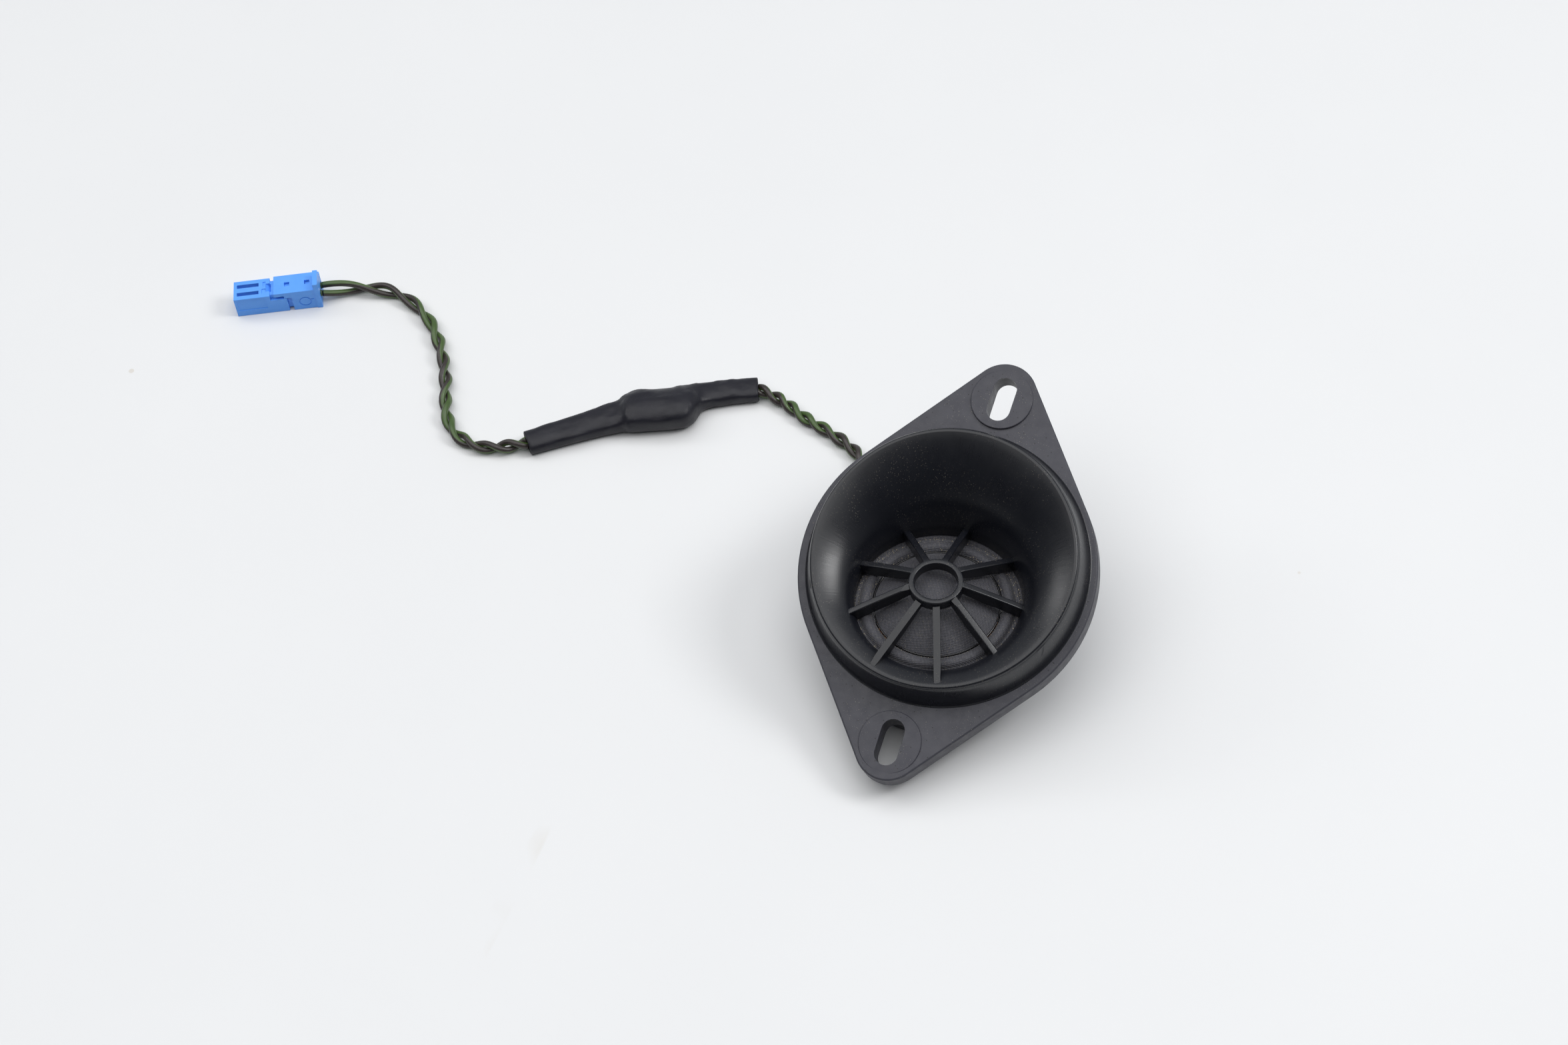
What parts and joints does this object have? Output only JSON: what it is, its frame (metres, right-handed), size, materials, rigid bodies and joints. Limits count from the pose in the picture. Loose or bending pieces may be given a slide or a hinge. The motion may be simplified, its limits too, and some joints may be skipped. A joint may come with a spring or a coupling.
{
  "type": "car tweeter",
  "caption": "Soft-dome car tweeter in a slanted oval flange with slotted ears, a horn and dome guard, on a short twisted lead with an in-line capacitor and a plug.",
  "frame": {"origin": "middle of the bottom of the tweeter's own box, on the rear cover's flat back, without the lead", "axes": "+Z along the driver's axis, out of the horn; +Y towards the raised ear of the slanted flange; +X across the ears"},
  "size_m": [0.2339, 0.0988, 0.0428],
  "materials": {
    "housing_plastic": "fine matt grain, satin inside the horn",
    "dome_cloth": "coated woven cloth",
    "glue": "dried glue",
    "aluminium_foil": "thin foil",
    "copper_wire": "enamelled copper",
    "motor_steel": "zinc plated",
    "magnet_nickel": "nickel plated",
    "felt": "pressed felt",
    "foam": "open foam",
    "gasket_foam": "thin foam tape",
    "board_resin": "brown laminate",
    "tinned_metal": "tinned",
    "cover_plastic": "fine matt grain",
    "screw_steel": "black oxide",
    "lead_insulation": "dark green with a near-black stripe",
    "sleeve_shrink": "satin heat-shrink tube",
    "capacitor_film": "dipped film capacitor",
    "connector_plastic": "light blue moulded"
  },
  "bodies": {
    "housing": {"front_housing": "housing_plastic", "surround": "dome_cloth", "coil_leadouts": "copper_wire", "diaphragm_ring": "cover_plastic", "ring_gasket": "gasket_foam", "top_plate": "motor_steel", "magnet": "magnet_nickel", "magnet_cup": "motor_steel", "felt_damper": "felt", "absorber_pad": "foam", "terminal_board": "board_resin", "terminals": "tinned_metal", "solder_joints": "tinned_metal", "inner_leads": "lead_insulation", "lead_clamp": "cover_plastic", "rear_cover": "cover_plastic", "cover_screws": "screw_steel", "lead_tweeter_side": "lead_insulation", "lead_connector_side": "lead_insulation", "splice_sleeve": "sleeve_shrink", "capacitor": "capacitor_film", "capacitor_legs": "tinned_metal", "splice_crimps": "tinned_metal", "sleeve_wires": "lead_insulation", "bypass_wire": "lead_insulation", "connector_housing": "connector_plastic", "connector_contacts": "tinned_metal", "connector_wires": "lead_insulation"},
    "dome_unit": {"dome_diaphragm": "dome_cloth", "dome_glue_ring": "glue", "coil_former": "aluminium_foil", "voice_coil": "copper_wire"},
    "lock": {"connector_lock": "connector_plastic"}
  },
  "joints": [
    {"name": "dome_travel", "type": "slide", "parent": "housing", "child": "dome_unit", "axis": [0, 0, 1], "range_m": [-0.0003, 0.0003], "stiffness_N_per_m": 150, "deforming": ["surround"]},
    {"name": "lock_slide", "type": "slide", "parent": "housing", "child": "lock", "axis": [-0.8906, -0.4548, 0], "range_m": [0, 0.0009]}
  ]
}
